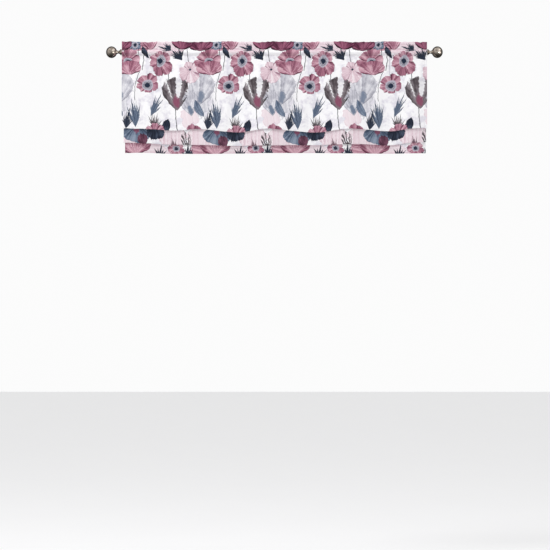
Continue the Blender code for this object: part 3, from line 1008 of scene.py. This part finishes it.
def buildMetal():
    material, w = newMaterial("brushedMetal")
    place = w.node("ShaderNodeTexCoord").outputs["Object"]
    # Fine rings round the rod's axis, as turned and brushed metal has
    rings = w.noise(w.vector("MULTIPLY", place, metalLook["rings"]), 1.0)
    patch = w.noise(place, metalLook["patches"])
    colour = w.blend(w.fade(patch, 0.42, 0.66), paint(metalLook["bright"]), paint(metalLook["dull"]))
    rough = w.times(rings, 0.08, w.fade(patch, 0.3, 0.7, 0.06, 0.16))
    bump = w.node("ShaderNodeBump", {"Strength": 0.12, "Distance": metalLook["relief"], "Height": rings})
    w.surface({
        "Base Color": colour, "Metallic": 1.0, "Roughness": rough, "Normal": bump.outputs[0]})
    return material


printedCloth, sewingThread, brushedMetal = buildPrintedCloth(), buildThread(), buildMetal()
clothSheet.data.materials.append(printedCloth)
for item in (seamStitches, hemStitches):
    item.data.materials.append(sewingThread)
for item in finials:
    item.data.materials.append(brushedMetal)
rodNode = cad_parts["rod"]
for place in rodNode.material_slots:
    place.material = brushedMetal
print("materials: printed cloth, thread and brushed metal")

# Frame

for item in (clothSheet, seamStitches, hemStitches):
    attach(item, "root")
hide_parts("valance_cloth")
for item, node in zip(finials, ("finial_left", "finial_right")):
    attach(item, "root")
    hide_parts(node)

# Stage

stageSettings = {
    "floorHeight": -2.15,
    "floorSize": 30.0,
    "floorColour": "f4f4f5",
    "floorGrain": "f7f7f8",
    "floorGlow": 0.13,
    "skySeen": 0.97,
    "skyLow": 0.20,            # light from below and from above
    "skyHigh": 0.84,
    "wallLow": 0.30,           # what the metal mirrors
    "wallHigh": 0.66,
    "wallDark": 0.04,
    "mirrored": (              # from and to up, from and to aside, light
        (-0.04, 0.12, -0.95, 0.95, 0.7),
        (-0.30, 0.04, 0.50, 0.90, 3.4),
        (0.40, 0.78, 0.30, 0.80, 0.9),
    ),
    "softUp": 0.05,            # how softly these end
    "softAside": 0.08,
}


def buildStage():
    s = stageSettings
    half, height = s["floorSize"] / 2, s["floorHeight"]
    corners = [(-half, -half, height), (half, -half, height), (half, half, height), (-half, half, height)]
    floor = addPiece("floor", corners, [(0, 1, 2, 3)], smooth=False)
    material, w = newMaterial("paleFloor")
    place = w.node("ShaderNodeTexCoord").outputs["Object"]
    grain = w.noise(place, 3.0)
    colour = w.blend(grain, paint(s["floorColour"]), paint(s["floorGrain"]))
    w.surface({
        "Base Color": colour, "Roughness": 0.9, "Emission Color": (1.0, 1.0, 1.0, 1.0),
        "Emission Strength": s["floorGlow"]})
    floor.data.materials.append(material)
    floor.visible_glossy = False


def buildSky():
    s = stageSettings
    world = bpy.data.worlds.new("studio")
    bpy.context.scene.world = world
    world.use_nodes = True
    world.node_tree.nodes.clear()
    w = Wiring(world.node_tree)
    path = w.node("ShaderNodeLightPath").outputs
    around = w.node("ShaderNodeTexCoord").outputs["Generated"]
    ways = ((1.0, 0.0, 0.0), (0.0, 1.0, 0.0), (0.0, 0.0, 1.0))
    aside, ahead, up = (w.vector("DOT_PRODUCT", around, way) for way in ways)

    def between(place, low, high, soft):
        return w.product(w.fade(place, low - soft, low + soft), w.fade(place, high + soft, high - soft))

    # Metal sees a grey room in front, paler above, and a dark ground and dark behind
    wall = w.product(w.fade(up, -1.0, -0.1), w.fade(ahead, 0.60, 0.0))
    gloss = w.times(wall, w.fade(up, 0.0, 0.6, s["wallLow"], s["wallHigh"]), s["wallDark"])
    # A bright strip straight ahead and two windows at the right, one low and one high
    front = w.fade(ahead, 0.3, -0.2)
    for low, high, left, right, level in s["mirrored"]:
        patch = w.product(between(up, low, high, s["softUp"]), between(aside, left, right, s["softAside"]))
        gloss = w.times(w.product(patch, front), level, gloss)
    soft = w.fade(up, -0.3, 0.9, s["skyLow"], s["skyHigh"])
    light = w.node("ShaderNodeMix", {0: path["Is Glossy Ray"], 2: soft, 3: gloss}).outputs[0]
    level = w.node("ShaderNodeMix", {0: path["Is Camera Ray"], 2: light, 3: s["skySeen"]}).outputs[0]
    background = w.node("ShaderNodeBackground", {"Color": (1.0, 1.0, 1.0, 1.0), "Strength": level})
    w.node("ShaderNodeOutputWorld", {"Surface": background.outputs[0]})


# Lamps: name, place, what it points at, width, height, power, whether the metal mirrors it
lamps = (
    ("keyLamp", (-2.5, -1.9, 2.4), (0.0, 0.0, -0.15), 0.8, 0.8, 69.0, False),
    ("fillLamp", (2.4, -2.6, -0.3), (0.0, 0.0, -0.15), 1.1, 1.1, 9.0, True),
    ("topLamp", (0.2, -0.9, 2.3), (0.0, 0.0, -0.1), 2.0, 0.6, 12.0, False),
)


def buildLamps():
    for name, place, target, width, height, power, mirrored in lamps:
        data = bpy.data.lights.new(name, "AREA")
        data.shape = "RECTANGLE"
        data.size, data.size_y, data.energy = width, height, power
        item = bpy.data.objects.new(name, data)
        item.location = place
        item.visible_glossy = mirrored
        item.rotation_euler = (Vector(target) - Vector(place)).to_track_quat("-Z", "Y").to_euler()
        bpy.context.scene.collection.objects.link(item)


cameraSettings = {"lens": 150.0, "sensor": 36.0, "place": (0.0024, -9.35, -0.909)}


def buildCamera():
    data = bpy.data.cameras.new("photoCamera")
    data.lens, data.sensor_width = cameraSettings["lens"], cameraSettings["sensor"]
    camera = bpy.data.objects.new("photoCamera", data)
    camera.location = cameraSettings["place"]
    camera.rotation_euler = (math.radians(90), 0.0, 0.0)
    bpy.context.scene.collection.objects.link(camera)
    bpy.context.scene.camera = camera


buildStage()
buildSky()
buildLamps()
buildCamera()
bpy.context.scene.view_settings.view_transform = "Standard"
print("stage: floor, sky,", len(lamps), "lamps and camera")
